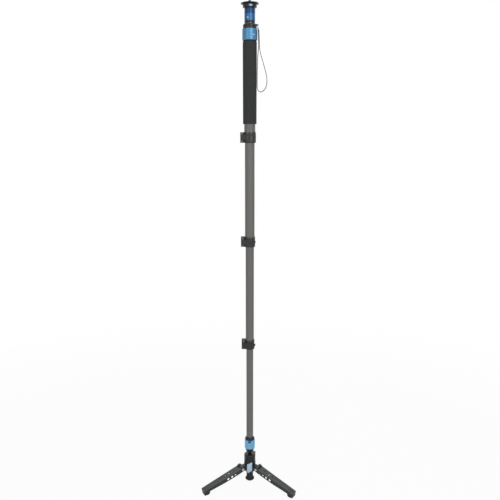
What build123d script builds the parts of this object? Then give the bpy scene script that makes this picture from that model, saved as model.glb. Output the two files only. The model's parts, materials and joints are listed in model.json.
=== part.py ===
from build123d import *
import math
import os

os.makedirs("parts", exist_ok=True)

# Camera monopod on a small folding stand, in millimetres, +Z up, with -Y as the front.
# The origin is on the floor under the axis of the pole.

# Clearances shared by all pieces
running = 0.05          # radial clearance of a shaft, ball or tube in its bearing
glued = 0.03            # radial clearance of a glued, pressed or screwed fit
play = 0.3              # gap between faces that move past each other
overrun = 6.0           # how far a cutting tool runs past the wall that it cuts
leg_azimuths = [90.0, 210.0, 330.0]
front_azimuth = 270.0

# Hub of the stand: heights of the outer profile above its lower end, and its radii
hub_bottom = 38.0
hub_height = 73.0
hub_foot_radius = 12.5
hub_cone_radius = 19.0
hub_cone_height = 18.0
hub_belt_radius = 20.6
hub_belt_start = 28.0
hub_belt_end = 38.0
hub_radius = 19.9
hub_shoulder_height = 44.0
hub_top_chamfer = 2.5
hub_bore_radius = 9.5
hub_bore_height = 50.0

# Blue inlays between the legs, slanted at both ends, in heights above the hub's lower end
inlay_point_rise = 1.6
inlay_point_side = 6.0
inlay_low_rise = 7.8
inlay_high_rise = 15.3
inlay_end = 48.7
inlay_slant = 9.8
inlay_width = 18.6
inlay_depth = 1.2
inlay_proud = 0.15

# Rubber foot under the hub, with heights above its lower face, and the plug that holds it
foot_drop = 29.6           # from the hub's lower end down to the foot's lower face
foot_face_radius = 7.0
foot_curve_radius = 12.6
foot_curve_rise = 2.3
foot_bulge_radius = 15.8
foot_bulge_rise = 6.2
foot_bulge_height = 2.2
foot_flare_height = 4.6
foot_neck_radius = 11.7
foot_stud_radius = 4.75
foot_stud_length = 21.0
foot_plug_length = 18.0

# Leg hinges on the hub
hinge_radius = 35.0
hinge_height = 64.5
hinge_pin_radius = 2.5
hinge_head_radius = 4.0
hinge_head_thickness = 1.3
tongue_thickness = 14.0
tongue_eye_radius = 6.5
tongue_top_height = 73.0
tongue_bottom_height = 47.0

# Legs: channels with the web on top, in directions along, across and above the hinge line
leg_length = 157.0
leg_end_height = 13.64      # of the hinge line, above the floor
leg_root_width = 31.0
leg_end_width = 26.0
leg_straight = 20.0
leg_end_round = 3.0
leg_wall = 2.6
leg_web = 2.0
leg_top = 4.5
leg_root_drop = 9.3
leg_taper_start = 80.0
leg_end_drop = 4.5
leg_ear_radius = 8.0
leg_web_start = 8.5
wall_hole_places = [31.8, 45.3, 61.0]
wall_hole_radii = [2.8, 4.0, 4.1]
wall_hole_drop = 3.0
web_hole_places = [28.8, 48.4, 61.6]
web_hole_radii = [2.6, 4.8, 3.4]
recess_start = 70.0
recess_end_back = 43.0      # from the leg's end, as are the next three
recess_width = 9.0
recess_depth = 0.6
groove_length = 24.0
groove_end_back = 6.0
groove_width = 5.0
groove_depth = 0.8
end_hole_radius = 1.9
rib_groove_start = 68.0
rib_groove_end_back = 19.0
rib_groove_height = 1.1
rib_groove_depth = 0.5

# Release button in one wall of each leg
button_place = 20.2
button_below = 5.2
button_radius = 2.9
button_proud = 3.0
button_cap_length = 5.0
button_stem_radius = 1.8
button_stem_length = 6.3
button_travel = 2.0
button_boss_width = 6.4
button_boss_length = 4.5

# Rubber pads under the leg ends
pad_length = 22.0          # along the leg, back from its end
pad_end_lean = 1.0
pad_sole_length = 9.5
pad_outer_rise = 2.0
pad_inner_bulge = 2.4
pad_inner_rise = 6.0
pad_sole_edge = 5.0
pad_side_inset = 0.8
pad_plug_length = 20.0

# Ball joint between the hub and the pole, with heights from the ball's centre
ball_above_hub = 26.0
ball_radius = 10.5
ball_neck_radius = 4.5
stem_flange_radius = 8.25
stem_flange_height = 3.9
stem_flange_chamfer = 1.8
stem_radius = 6.0
stem_thread_radius = 4.0
stem_thread_length = 9.0
bush_wall = 1.5
bush_flange_radius = 10.0
bush_flange_thickness = 1.0
stud_nut_flats = 15.0
stud_nut_height = 7.6
seat_radius = 12.4
seat_clearance = 0.1
lower_seat_drop = 6.0
lower_seat_rise = 1.5
upper_seat_start = 3.0
upper_seat_top = 12.3
upper_seat_hole = 4.0
spring_thickness = 0.8
spring_dish = 1.2
spring_inner_radius = 6.0
spring_outer_radius = 11.8

# Housing of the ball joint, its lock ring and the collar that holds the lowest tube
skirt_drop = 15.5
skirt_bottom_radius = 12.4
skirt_lip = 0.8
skirt_radius = 17.0
skirt_throat_radius = 8.8
lock_ring_drop = 2.6
lock_ring_radius = 18.2
housing_radius = 15.0
base_collar_radius = 16.25
base_collar_rim = 5.0
base_collar_cone = 4.7
base_collar_lip = 0.6
socket_depth = 23.9
socket_floor = 2.0
spring_room = 0.45
socket_hole = 5.0
ring_notch_width = 12.0
ring_notch_height = 8.0
ring_notch_depth = 0.8
ring_edge = 0.7

# Pole: tubes and locks from the top section down
tube_diameters = [36.4, 32.0, 28.0, 24.0]
tube_wall = 1.3
tube_shown = [26.0, 310.0, 326.0, 328.3]
tube_overlap = 45.0
tube_in_collar = 14.0
tube_bush_length = 20.0
tube_bush_lip = 1.0

# Flip locks
lock_height = 34.0
collar_wall = 2.0
shim_thickness = 1.5
shim_length = 17.0
collar_lip = 2.0
crown_count = 10
crown_width = 5.0
crown_depth = 5.5
collar_edge = 0.8
block_reaches = [30.8, 29.4, 27.9]
block_thickness = 16.0
block_root = 4.0
block_edge = 1.5
slit_width = 2.0
pivot_outside = 4.2
pivot_ahead = 3.9
pivot_radius = 1.6
bolt_edge_distance = 4.6
bolt_eye_radius = 3.3
bolt_eye_height = 5.6
bolt_radius = 1.8
bolt_nut_flats = 6.0
bolt_nut_height = 2.8
bolt_tail = 1.2
cam_radius = 3.2
cam_throw = 0.4
lever_thickness = 3.0
lever_gap = 0.4
lever_middle = 17.0
lever_half_height = 9.1
lever_start_azimuth = 222.0
lever_join_azimuth = 238.0
lever_leaf_azimuth = 300.0
lever_tips = [21.0, 20.5, 20.2]
lever_tip_thickness = 1.6
lever_lobe_drop = 15.2
lever_lobe_place = 2.0
lever_shoulder_place = 12.0
lever_shoulder_rise = 6.2
lever_tip_rise = 3.6
lever_tip_drop = 0.4
lever_dish_radius = 30.0
lever_dish_depth = 1.3
lever_dish_drop = 7.0
lever_dish_azimuth = 268.0

# Grip and head, measured up from the top of the first tube's shown length
grip_length = 258.3
grip_radius = 22.5
grip_foot_radius = 22.0
grip_shoulder_radius = 20.2
grip_shoulder_length = 6.0
grip_foot_edge = 1.2
pan_ring_length = 35.1
pan_ring_radius = 24.15
pan_ring_chamfer = 1.6
sleeve_radius = 20.6
collar_length = 15.0
head_collar_radius = 22.0
head_collar_top_radius = 18.6
head_collar_chamfer = 3.2
tube_below_collar_top = 2.0
plug_depth = 12.0
plug_flange_radius = 18.0
trim_radius = 15.9
trim_height = 2.2
trim_bore = 7.5
band_radius = 17.1
band_height = 6.1
neck_radius = 17.3
neck_length = 35.5
neck_floor = 9.0
neck_cavity_radius = 13.0
neck_groove_height = 21.6
neck_groove_depth = 0.45
neck_groove_width = 0.7
neck_edge = 0.5
spindle_radius = 5.0
spindle_bush_wall = 2.0
spindle_in_plug = 11.0
spindle_head_radius = 9.0
spindle_head_height = 4.0
spindle_head_chamfer = 0.6

# Camera plate
frame_spigot_length = 10.0
frame_waist_radius = 16.3
frame_waist_height = 4.2
frame_radius = 22.5
frame_height = 8.9
frame_floor = 1.4
frame_window_width = 14.0
frame_window_turn = 13.0
wheel_radius = 17.0
wheel_ring_gap = 0.3
plate_radius = 28.75
plate_height = 4.6
plate_dish_radius = 22.9
plate_edge_start = 2.4
plate_edge = 0.6
pad_radius = 27.4
pad_hole_radius = 7.5
pad_recess = 0.6
pad_thickness = 1.1
camera_stud_radius = 4.7625
camera_stud_length = 8.4
camera_stud_chamfer = 0.9
camera_shank_radius = 4.2
camera_shank_rise = 0.5
plate_screw_radius = 1.5
plate_screw_head_radius = 2.8
plate_screw_head_height = 1.6
plate_screw_length = 7.0
plate_screw_circle = 20.0

# Strap: lug, ring, tab and the loop of webbing
lug_reach = 25.6
lug_below_collar_top = 3.4
lug_eye_radius = 2.5
lug_hole_radius = 1.4
lug_thickness = 3.0
strap_ring_radius = 4.4
strap_ring_wire = 0.9
tab_neck_width = 3.2
tab_neck_half = 1.3
tab_eye_radius = 2.3
tab_width = 9.2
tab_half_thickness = 2.2
tab_top_reach = 27.9
tab_top_drop = 9.4
tab_bottom_reach = 29.4
tab_bottom_drop = 47.8
tab_edge = 0.7
strap_width = 8.0
strap_thickness = 1.2
strap_arc_share = 0.45
# Route of the webbing in the XZ plane, out of the tab, down, round and back to the tab
strap_route = [
    (30.4, 1519.0), (30.4, 1509.0), (32.6, 1496.0), (36.4, 1482.0), (42.4, 1462.0),
    (49.2, 1440.0), (54.2, 1419.0), (55.4, 1402.0), (52.8, 1387.0), (46.4, 1376.4),
    (39.0, 1371.2), (31.8, 1371.0), (26.6, 1375.2), (24.2, 1382.6), (23.8, 1393.0),
    (23.85, 1409.0), (24.1, 1434.0), (24.5, 1458.0), (25.2, 1479.0), (26.5, 1495.0),
    (28.4, 1508.5), (28.4, 1519.0),
]

# Places along the pole, worked out from the sizes above
hub_top = hub_bottom + hub_height
leg_slope = math.degrees(math.asin((hinge_height - leg_end_height) / leg_length))
recess_end = leg_length - recess_end_back
groove_end = leg_length - groove_end_back
groove_start = groove_end - groove_length
rib_groove_end = leg_length - rib_groove_end_back
ball_height = hub_top + ball_above_hub
skirt_bottom = ball_height - skirt_drop
lock_ring_bottom = ball_height - lock_ring_drop
spring_foot = ball_height + upper_seat_top + running
spring_top = spring_foot + spring_thickness + spring_dish
socket_floor_bottom = spring_top + spring_room
socket_floor_top = socket_floor_bottom + socket_floor
base_collar_top = socket_floor_top + socket_depth
base_collar_bottom = base_collar_top - base_collar_cone - base_collar_rim
lock_bottoms = []
level = base_collar_top
for shown in reversed(tube_shown[1:]):
    level += shown
    lock_bottoms.insert(0, level)
    level += lock_height
grip_bottom = level + tube_shown[0]
grip_top = grip_bottom + grip_length
pan_ring_top = grip_top + play + pan_ring_length
collar_bottom = pan_ring_top + play
collar_top = collar_bottom + collar_length
trim_top = collar_top + trim_height
band_bottom = trim_top + play
neck_bottom = band_bottom + band_height
neck_top = neck_bottom + neck_length
frame_bottom = neck_top + frame_waist_height
plate_bottom = frame_bottom + frame_height
plate_top = plate_bottom + plate_height
pad_top = plate_top - pad_recess + pad_thickness
lug_height = collar_top - lug_below_collar_top
tube_radii = [diameter / 2 for diameter in tube_diameters]
tube_bottoms = [bottom + lock_height - tube_in_collar for bottom in lock_bottoms]
tube_bottoms.append(socket_floor_top)
tube_tops = [collar_top - tube_below_collar_top]
tube_tops += [bottom + tube_overlap for bottom in lock_bottoms]


def direction(azimuth, slope=0.0):
    """Unit vector outwards at an azimuth, pitched down by the slope."""
    turn = math.radians(azimuth)
    pitch = math.radians(slope)
    flat = math.cos(pitch)
    return Vector(flat * math.cos(turn), flat * math.sin(turn), -math.sin(pitch))


def polar(radius, azimuth):
    """Point on a plan at a radius and azimuth."""
    turn = math.radians(azimuth)
    return (radius * math.cos(turn), radius * math.sin(turn))


def half_section(*points):
    """Face in the XZ plane through (radius, height) points, ready to be turned about Z."""
    with BuildSketch(Plane.XZ) as section:
        with BuildLine():
            Polyline(*points, close=True)
        make_face()
    return section.sketch


def finish(piece, name):
    """Name a finished piece and write it."""
    piece.part.label = name
    export_step(piece.part, f"parts/{name}.step")


def build_hub():
    """Hub with its stepped bore, three tongues for the legs and pockets for the inlays."""
    outline = [
        (hub_foot_radius, hub_bottom),
        (hub_cone_radius, hub_bottom + hub_cone_height),
        (hub_belt_radius, hub_bottom + hub_belt_start),
        (hub_belt_radius, hub_bottom + hub_belt_end),
        (hub_radius, hub_bottom + hub_shoulder_height),
        (hub_radius, hub_top - hub_top_chamfer),
        (hub_radius - hub_top_chamfer, hub_top),
    ]
    bush_radius = stem_radius + running + bush_wall + glued
    flange_radius = bush_flange_radius + glued
    flange_floor = hub_top - bush_flange_thickness
    bore_top = hub_bottom + hub_bore_height
    bore = [
        (flange_radius, hub_top),
        (flange_radius, flange_floor),
        (bush_radius, flange_floor),
        (bush_radius, bore_top),
        (hub_bore_radius, bore_top),
        (hub_bore_radius, hub_bottom),
    ]
    with BuildPart() as hub:
        revolve(half_section(*outline, *bore), axis=Axis.Z)
        for azimuth in leg_azimuths:
            upright = Plane(origin=(0, 0, 0), x_dir=direction(azimuth), z_dir=-direction(azimuth + 90))
            with BuildSketch(upright):
                with BuildLine():
                    Polyline(
                        (hub_foot_radius, tongue_bottom_height),
                        (hinge_radius, hinge_height - tongue_eye_radius),
                        (hinge_radius, hinge_height + tongue_eye_radius),
                        (hub_foot_radius, tongue_top_height),
                        close=True,
                    )
                make_face()
                with Locations((hinge_radius, hinge_height)):
                    Circle(tongue_eye_radius)
                    Circle(hinge_pin_radius + glued, mode=Mode.SUBTRACT)
            extrude(amount=tongue_thickness / 2, both=True)
        for azimuth in leg_azimuths:
            add(inlay_solid(azimuth + 180, glued), mode=Mode.SUBTRACT)
    finish(hub, "hub")


def hub_skin(depth, proud):
    """Half section of a skin that follows the hub's outer profile over the inlays' height."""
    profile = [
        (hub_foot_radius, hub_bottom),
        (hub_cone_radius, hub_bottom + hub_cone_height),
        (hub_belt_radius, hub_bottom + hub_belt_start),
        (hub_belt_radius, hub_bottom + hub_belt_end),
        (hub_radius, hub_bottom + hub_shoulder_height),
        (hub_radius, hub_top - hub_top_chamfer),
    ]
    outer = [(radius + proud, height) for radius, height in profile]
    inner = [(radius - depth, height) for radius, height in reversed(profile)]
    return half_section(*outer, *inner)


def inlay_solid(azimuth, margin):
    """One curved inlay, or with a margin the pocket that it lies in."""
    with BuildPart() as inlay:
        revolve(hub_skin(inlay_depth + margin, inlay_proud), axis=Axis.Z)
        upright = Plane(origin=(0, 0, 0), x_dir=direction(azimuth + 90), z_dir=direction(azimuth))
        with BuildSketch(upright):
            with BuildLine():
                Polyline(
                    (-inlay_point_side, hub_bottom + inlay_point_rise - margin),
                    (inlay_width / 2 + margin, hub_bottom + inlay_high_rise - margin),
                    (inlay_width / 2 + margin, hub_bottom + inlay_end + margin),
                    (-inlay_width / 2 - margin, hub_bottom + inlay_end - inlay_slant + margin),
                    (-inlay_width / 2 - margin, hub_bottom + inlay_low_rise - margin),
                    close=True,
                )
            make_face()
        extrude(amount=hub_belt_radius + overrun, mode=Mode.INTERSECT)
    return inlay.part


def build_hub_inlays():
    """The three inlays, one under each gap between two legs."""
    with BuildPart() as hub_inlays:
        for azimuth in leg_azimuths:
            add(inlay_solid(azimuth + 180, 0))
    finish(hub_inlays, "hub_inlays")


def build_foot():
    """Rubber foot on a threaded plug."""
    face = hub_bottom - foot_drop
    bulge_top = face + foot_bulge_rise + foot_bulge_height
    stud_end = hub_bottom - foot_stud_length
    hole = foot_stud_radius + glued
    with BuildPart() as ball_foot:
        with BuildSketch(Plane.XZ):
            with BuildLine():
                ThreePointArc(
                    (foot_face_radius, face),
                    (foot_curve_radius, face + foot_curve_rise),
                    (foot_bulge_radius, face + foot_bulge_rise),
                )
                Polyline(
                    (foot_bulge_radius, face + foot_bulge_rise),
                    (foot_bulge_radius, bulge_top),
                    (foot_neck_radius, bulge_top + foot_flare_height),
                    (foot_neck_radius, hub_bottom),
                    (hole, hub_bottom),
                    (hole, stud_end - play),
                    (0, stud_end - play),
                    (0, face),
                    (foot_face_radius, face),
                )
            make_face()
        revolve(axis=Axis.Z)
    finish(ball_foot, "ball_foot")

    with BuildPart() as foot_stud:
        revolve(
            half_section(
                (0, stud_end),
                (foot_stud_radius, stud_end),
                (foot_stud_radius, hub_bottom),
                (hub_bore_radius - glued, hub_bottom),
                (hub_bore_radius - glued, hub_bottom + foot_plug_length),
                (0, hub_bottom + foot_plug_length),
            ),
            axis=Axis.Z,
        )
    finish(foot_stud, "foot_stud")


def build_hinge_pins():
    """Three headed pins through the tongues."""
    head_start = leg_root_width / 2 + play
    with BuildPart() as hinge_pins:
        for azimuth in leg_azimuths:
            centre = direction(azimuth) * hinge_radius + Vector(0, 0, hinge_height)
            across = direction(azimuth + 90)
            with BuildSketch(Plane(origin=centre, x_dir=direction(azimuth), z_dir=across)):
                Circle(hinge_pin_radius)
            extrude(amount=head_start, both=True)
            for side in (1, -1):
                face = Plane(
                    origin=centre + across * (side * head_start),
                    x_dir=direction(azimuth),
                    z_dir=across * side,
                )
                with BuildSketch(face):
                    Circle(hinge_head_radius)
                extrude(amount=hinge_head_thickness)
    finish(hinge_pins, "hinge_pins")


def leg_frame(azimuth):
    """Plane along a leg: x out along it, y across it, z out of its top."""
    along = direction(azimuth, leg_slope)
    centre = direction(azimuth) * hinge_radius + Vector(0, 0, hinge_height)
    return Plane(origin=centre, x_dir=along, z_dir=along.cross(direction(azimuth + 90)))


def leg_side(azimuth, across=0.0):
    """Plane down the side of a leg: x out along it, y out of its top."""
    sideways = direction(azimuth + 90)
    frame = leg_frame(azimuth)
    return Plane(origin=frame.origin + sideways * across, x_dir=frame.x_dir, z_dir=-sideways)


def build_leg(number, azimuth):
    """One channel-shaped leg with its ears, holes, grooves and the boss of its button."""
    frame = leg_frame(azimuth)
    side = leg_side(azimuth)
    root_half = leg_root_width / 2
    end_half = leg_end_width / 2
    round_start = leg_length - leg_end_round
    inner_root = root_half - leg_wall
    inner_end = end_half - leg_wall
    boss_start = tongue_thickness / 2 + play
    depth = leg_root_drop + overrun
    button_rest = root_half - (button_cap_length - button_proud)
    boss_outer = button_rest - button_travel - play
    with BuildPart() as leg:
        with BuildSketch(frame.offset(-depth)):
            with BuildLine():
                Polyline(
                    (leg_length, leg_end_round - end_half),
                    (round_start, -end_half),
                    (leg_straight, -root_half),
                    (-leg_ear_radius, -root_half),
                    (-leg_ear_radius, root_half),
                    (leg_straight, root_half),
                    (round_start, end_half),
                    (leg_length, end_half - leg_end_round),
                    close=True,
                )
            make_face()
        extrude(amount=depth + leg_top + overrun)
        with BuildSketch(side):
            with BuildLine():
                Polyline(
                    (0, -leg_ear_radius),
                    (leg_straight, -leg_root_drop),
                    (leg_taper_start, -leg_root_drop),
                    (leg_length, -leg_end_drop),
                    (leg_length, leg_top),
                    (leg_straight / 2, leg_top),
                    (0, leg_ear_radius),
                    close=True,
                )
            make_face()
            Circle(leg_ear_radius)
        extrude(amount=leg_root_width, both=True, mode=Mode.INTERSECT)
        with BuildSketch(frame.offset(-depth)):
            with BuildLine():
                Polyline(
                    (round_start, -inner_end),
                    (leg_straight, -inner_root),
                    (-leg_ear_radius - overrun, -inner_root),
                    (-leg_ear_radius - overrun, inner_root),
                    (leg_straight, inner_root),
                    (round_start, inner_end),
                    close=True,
                )
            make_face()
        extrude(amount=depth + leg_top - leg_web, mode=Mode.SUBTRACT)
        with BuildSketch(frame):
            with Locations(((leg_web_start - leg_ear_radius - overrun) / 2, 0)):
                Rectangle(leg_web_start + leg_ear_radius + overrun, 2 * inner_root)
        extrude(amount=leg_root_width, both=True, mode=Mode.SUBTRACT)
        for hand in (1, -1):
            with BuildSketch(leg_side(azimuth, hand * (boss_start + inner_root) / 2)):
                Circle(leg_ear_radius - play)
            extrude(amount=(inner_root - boss_start) / 2, both=True)
        with BuildSketch(side):
            Circle(hinge_pin_radius + running)
            for place, radius in zip(wall_hole_places, wall_hole_radii):
                with Locations((place, -wall_hole_drop)):
                    Circle(radius)
        extrude(amount=leg_root_width, both=True, mode=Mode.SUBTRACT)
        with BuildSketch(frame):
            for place, radius in zip(web_hole_places, web_hole_radii):
                with Locations((place, 0)):
                    Circle(radius)
            with Locations((groove_end - groove_width / 2, 0)):
                Circle(end_hole_radius)
        extrude(amount=leg_top + overrun, mode=Mode.SUBTRACT)
        with BuildSketch(frame.offset(leg_top - recess_depth)):
            with Locations(((recess_start + recess_end) / 2, 0)):
                SlotOverall(recess_end - recess_start, recess_width)
        extrude(amount=overrun, mode=Mode.SUBTRACT)
        with BuildSketch(frame.offset(leg_top - groove_depth)):
            with Locations(((groove_start + groove_end) / 2, 0)):
                SlotOverall(groove_end - groove_start, groove_width)
        extrude(amount=overrun, mode=Mode.SUBTRACT)
        with BuildSketch(frame.offset(leg_top / 2 - rib_groove_height)):
            with BuildLine():
                Polyline(
                    (rib_groove_start, -root_half - overrun),
                    (rib_groove_end, -root_half - overrun),
                    (rib_groove_end, wall_line(rib_groove_end)),
                    (rib_groove_start, wall_line(rib_groove_start)),
                    close=True,
                )
            make_face()
            mirror(about=Plane.XZ)
        extrude(amount=rib_groove_height, mode=Mode.SUBTRACT)
        with BuildSketch(leg_side(azimuth, -(boss_outer - button_boss_length / 2))):
            with BuildLine():
                Polyline(
                    (button_place - button_boss_width / 2, leg_top - leg_web),
                    (button_place + button_boss_width / 2, leg_top - leg_web),
                    (button_place + button_boss_width / 2, -leg_root_drop + play),
                    (button_place - button_boss_width / 2, -leg_root_drop + play),
                    close=True,
                )
            make_face()
        extrude(amount=button_boss_length / 2, both=True)
        with BuildSketch(leg_side(azimuth)):
            with Locations((button_place, -button_below)):
                Circle(button_stem_radius + running)
        extrude(amount=leg_root_width, mode=Mode.SUBTRACT)
        with BuildSketch(leg_side(azimuth, -boss_outer - play)):
            with Locations((button_place, -button_below)):
                Circle(button_radius + running)
        extrude(amount=leg_root_width, mode=Mode.SUBTRACT)
    finish(leg, f"leg_{number}")

    with BuildPart() as leg_button:
        with BuildSketch(leg_side(azimuth, -button_rest)):
            with Locations((button_place, -button_below)):
                Circle(button_radius)
        extrude(amount=button_cap_length)
        outward = Axis(frame.origin, -direction(azimuth + 90))
        fillet(leg_button.edges().group_by(outward)[-1], button_proud / 4)
        with BuildSketch(leg_side(azimuth, -button_rest)):
            with Locations((button_place, -button_below)):
                Circle(button_stem_radius)
        extrude(amount=-button_stem_length)
    finish(leg_button, f"leg_button_{number}")


def wall_line(place):
    """Distance across to the floor of the side groove, along the tapering wall."""
    share = (place - leg_straight) / (leg_length - leg_end_round - leg_straight)
    half = leg_root_width / 2 + share * (leg_end_width - leg_root_width) / 2
    return rib_groove_depth - half


def under_leg(place):
    """Reach and height of a point on the lower edge of a leg's walls."""
    share = max(place - leg_taper_start, 0) / (leg_length - leg_taper_start)
    above = -leg_root_drop + share * (leg_root_drop - leg_end_drop)
    return in_leg(place, above)


def in_leg(place, above):
    """Reach and height of a point given along and above the hinge line."""
    pitch = math.radians(leg_slope)
    reach = hinge_radius + place * math.cos(pitch) + above * math.sin(pitch)
    height = hinge_height - place * math.sin(pitch) + above * math.cos(pitch)
    return (reach, height)


def build_foot_pad(number, azimuth):
    """Rubber pad: a wedge under the leg's end with a plug up into the channel."""
    upright = Plane(origin=(0, 0, 0), x_dir=direction(azimuth), z_dir=-direction(azimuth + 90))
    inner_top = under_leg(leg_length - pad_length)
    outer_top = under_leg(leg_length)
    outer_reach = outer_top[0] - pad_end_lean
    sole_end = outer_reach - pad_outer_rise
    plug_start = leg_length - pad_plug_length
    web_under = leg_top - leg_web - glued
    plug_half = leg_end_width / 2 - leg_wall - play
    pad_half = leg_end_width / 2 - pad_side_inset
    outwards = Plane(origin=(0, 0, 0), x_dir=direction(azimuth + 90), z_dir=direction(azimuth))
    with BuildPart() as foot_pad:
        with BuildSketch(upright):
            with BuildLine():
                ThreePointArc(
                    inner_top,
                    (inner_top[0] + pad_inner_bulge, pad_inner_rise),
                    (sole_end - pad_sole_length, 0),
                )
                Polyline(
                    (sole_end - pad_sole_length, 0),
                    (sole_end, 0),
                    (outer_reach, pad_outer_rise),
                    outer_top,
                    inner_top,
                )
            make_face()
        extrude(amount=pad_half, both=True)
        with BuildSketch(outwards) as section:
            Rectangle(2 * pad_half, hinge_height, align=(Align.CENTER, Align.MIN))
            fillet(section.vertices().group_by(Axis.Y)[0], pad_sole_edge)
        extrude(amount=outer_reach + overrun, mode=Mode.INTERSECT)
        with BuildSketch(upright):
            with BuildLine():
                Polyline(
                    under_leg(plug_start),
                    in_leg(plug_start, web_under),
                    in_leg(leg_length - leg_end_round - play, web_under),
                    under_leg(leg_length - leg_end_round - play),
                    close=True,
                )
            make_face()
        extrude(amount=plug_half, both=True)
        with BuildSketch(leg_frame(azimuth)):
            with Locations((groove_end - groove_width / 2, 0)):
                Circle(end_hole_radius)
        extrude(amount=leg_top, both=True, mode=Mode.SUBTRACT)
    finish(foot_pad, f"foot_pad_{number}")


def build_ball_stud():
    """Ball on a neck, with a flange, a journal in the hub and a threaded end."""
    flange_bottom = hub_top + play
    flange_top = flange_bottom + stem_flange_height
    journal_bottom = hub_bottom + hub_bore_height
    thread_end = journal_bottom - stem_thread_length
    neck_top = ball_height - math.sqrt(ball_radius ** 2 - ball_neck_radius ** 2)
    with BuildPart() as ball_stud:
        with BuildSketch(Plane.XZ):
            with BuildLine():
                Polyline(
                    (0, ball_height + ball_radius),
                    (0, thread_end),
                    (stem_thread_radius, thread_end),
                    (stem_thread_radius, journal_bottom),
                    (stem_radius, journal_bottom),
                    (stem_radius, flange_bottom),
                    (stem_flange_radius, flange_bottom),
                    (stem_flange_radius, flange_top - stem_flange_chamfer),
                    (ball_neck_radius, flange_top + stem_flange_chamfer / 2),
                    (ball_neck_radius, neck_top),
                )
                ThreePointArc(
                    (ball_neck_radius, neck_top),
                    (ball_radius, ball_height),
                    (0, ball_height + ball_radius),
                )
            make_face()
        revolve(axis=Axis.Z)
    finish(ball_stud, "ball_stud")

    with BuildPart() as stud_nut:
        with BuildSketch(Plane.XY.offset(journal_bottom - play - stud_nut_height)):
            RegularPolygon(stud_nut_flats / 2, 6, major_radius=False)
            Circle(stem_thread_radius + glued, mode=Mode.SUBTRACT)
        extrude(amount=stud_nut_height)
    finish(stud_nut, "stud_nut")

    bush_bore = stem_radius + running
    bush_radius = bush_bore + bush_wall
    with BuildPart() as stud_bush:
        revolve(
            half_section(
                (bush_bore, journal_bottom),
                (bush_radius, journal_bottom),
                (bush_radius, hub_top - bush_flange_thickness),
                (bush_flange_radius, hub_top - bush_flange_thickness),
                (bush_flange_radius, hub_top),
                (bush_bore, hub_top),
            ),
            axis=Axis.Z,
        )
    finish(stud_bush, "stud_bush")


def seat_reach(above):
    """Radius of the seats' hollow at a height above the ball's centre."""
    return math.sqrt((ball_radius + seat_clearance) ** 2 - above ** 2)


def build_seats():
    """Two cups round the ball and the dished spring above them."""
    cup = ball_radius + seat_clearance
    cup_middle = cup * math.sqrt(3) / 2
    with BuildPart() as lower_seat:
        with BuildSketch(Plane.XZ):
            with BuildLine():
                ThreePointArc(
                    (seat_reach(lower_seat_drop), ball_height - lower_seat_drop),
                    (seat_reach(lower_seat_drop / 2), ball_height - lower_seat_drop / 2),
                    (cup, ball_height),
                )
                Polyline(
                    (cup, ball_height),
                    (cup, ball_height + lower_seat_rise),
                    (seat_radius, ball_height + lower_seat_rise),
                    (seat_radius, ball_height - lower_seat_drop),
                    (seat_reach(lower_seat_drop), ball_height - lower_seat_drop),
                )
            make_face()
        revolve(axis=Axis.Z)
    finish(lower_seat, "lower_seat")

    hollow_top = ball_height + math.sqrt(cup ** 2 - upper_seat_hole ** 2)
    with BuildPart() as upper_seat:
        with BuildSketch(Plane.XZ):
            with BuildLine():
                ThreePointArc(
                    (seat_reach(upper_seat_start), ball_height + upper_seat_start),
                    (cup / 2, ball_height + cup_middle),
                    (upper_seat_hole, hollow_top),
                )
                Polyline(
                    (upper_seat_hole, hollow_top),
                    (upper_seat_hole, ball_height + upper_seat_top),
                    (seat_radius, ball_height + upper_seat_top),
                    (seat_radius, ball_height + upper_seat_start),
                    (seat_reach(upper_seat_start), ball_height + upper_seat_start),
                )
            make_face()
        revolve(axis=Axis.Z)
    finish(upper_seat, "upper_seat")

    with BuildPart() as seat_spring:
        revolve(
            half_section(
                (spring_outer_radius, spring_foot),
                (spring_outer_radius, spring_foot + spring_thickness),
                (spring_inner_radius, spring_top),
                (spring_inner_radius, spring_foot + spring_dish),
            ),
            axis=Axis.Z,
        )
    finish(seat_spring, "seat_spring")


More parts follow.
